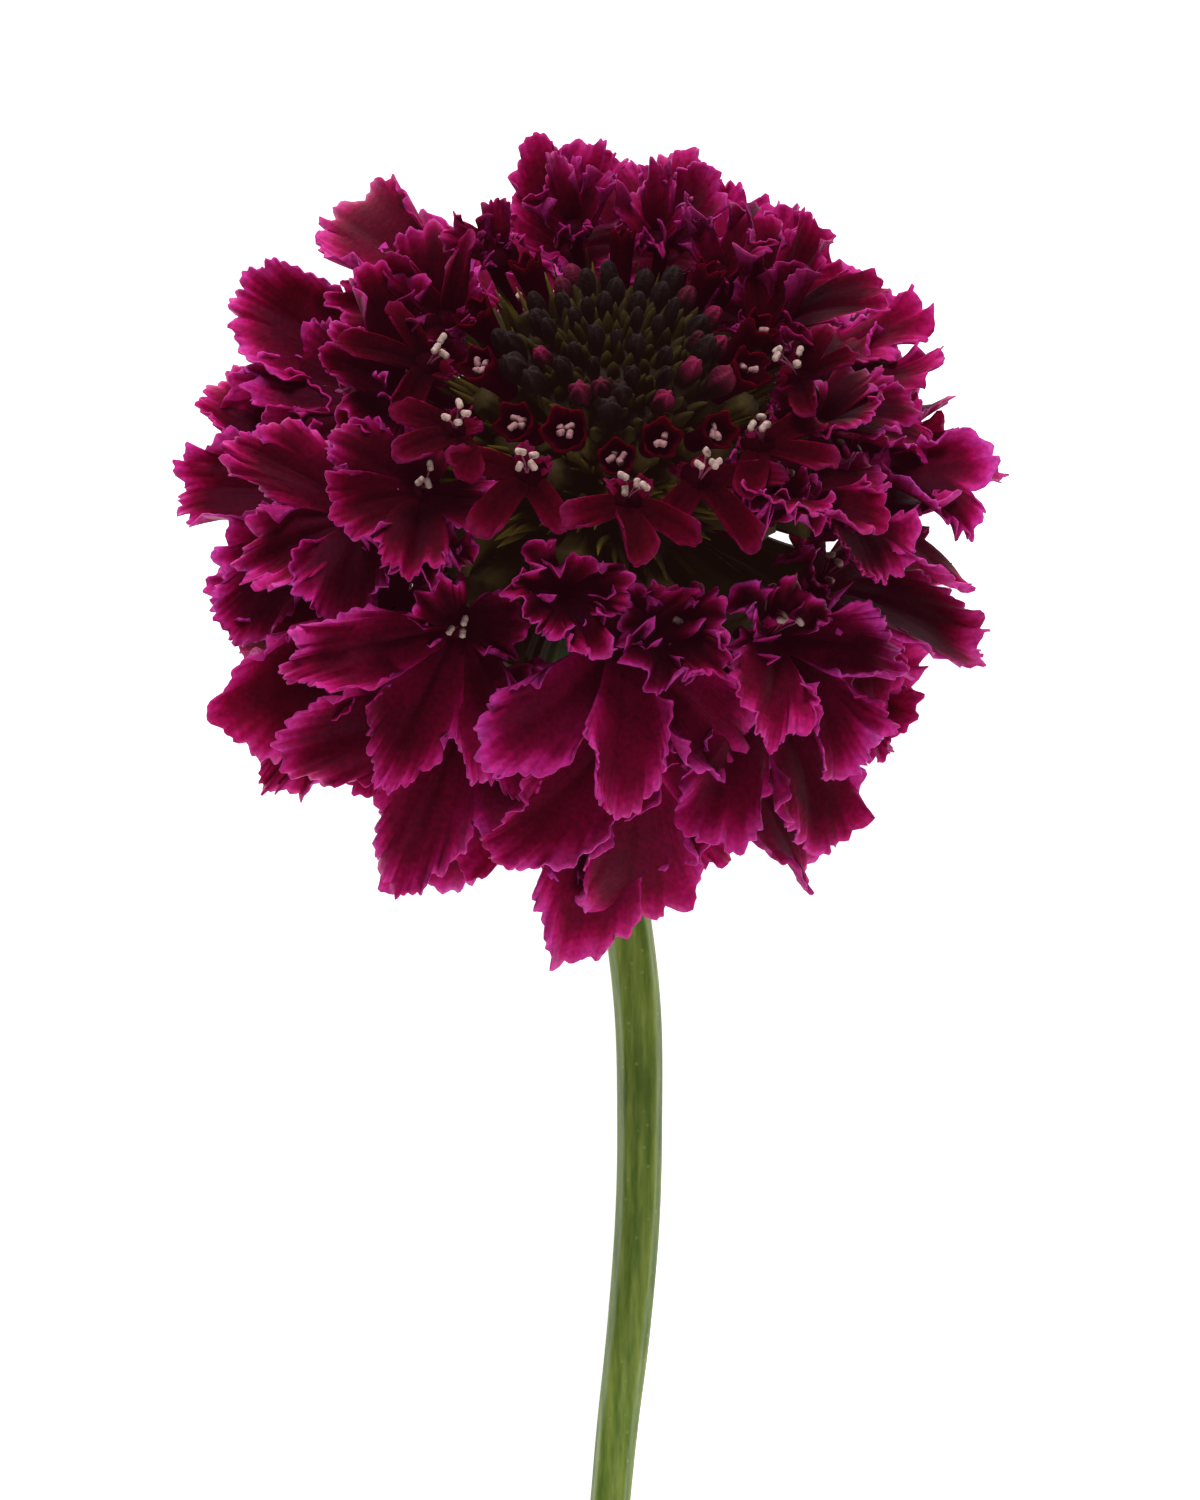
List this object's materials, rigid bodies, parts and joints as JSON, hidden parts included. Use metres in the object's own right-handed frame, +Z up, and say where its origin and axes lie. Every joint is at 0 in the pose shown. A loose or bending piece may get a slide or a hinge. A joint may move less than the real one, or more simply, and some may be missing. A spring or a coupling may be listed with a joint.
{
  "type": "scabiosa flower",
  "caption": "Cut scabiosa flower lying on its side: a double dark magenta head of ruffled lobed florets round a dome of dark buds, on a bare green stem.",
  "frame": {"origin": "point on the surface below the centre of the object's bounding box", "axes": "+Z up from the surface it lies on, +Y from the cut end of the stem towards the head, +X to the right when it is seen from above with the head away from the viewer"},
  "size_m": [0.0597, 0.1429, 0.0443],
  "materials": {
    "stem": "matte-satin green stem, faintly ribbed",
    "bract": "matte dark green leaf tissue",
    "petal": "soft velvety petal, nearly black at the base and magenta at the rim",
    "bud": "matte slate-black buds with reddish tips"
  },
  "bodies": {
    "root": {"stem": "stem", "involucre": "bract", "florets": "petal", "buds": "bud"}
  },
  "joints": []
}
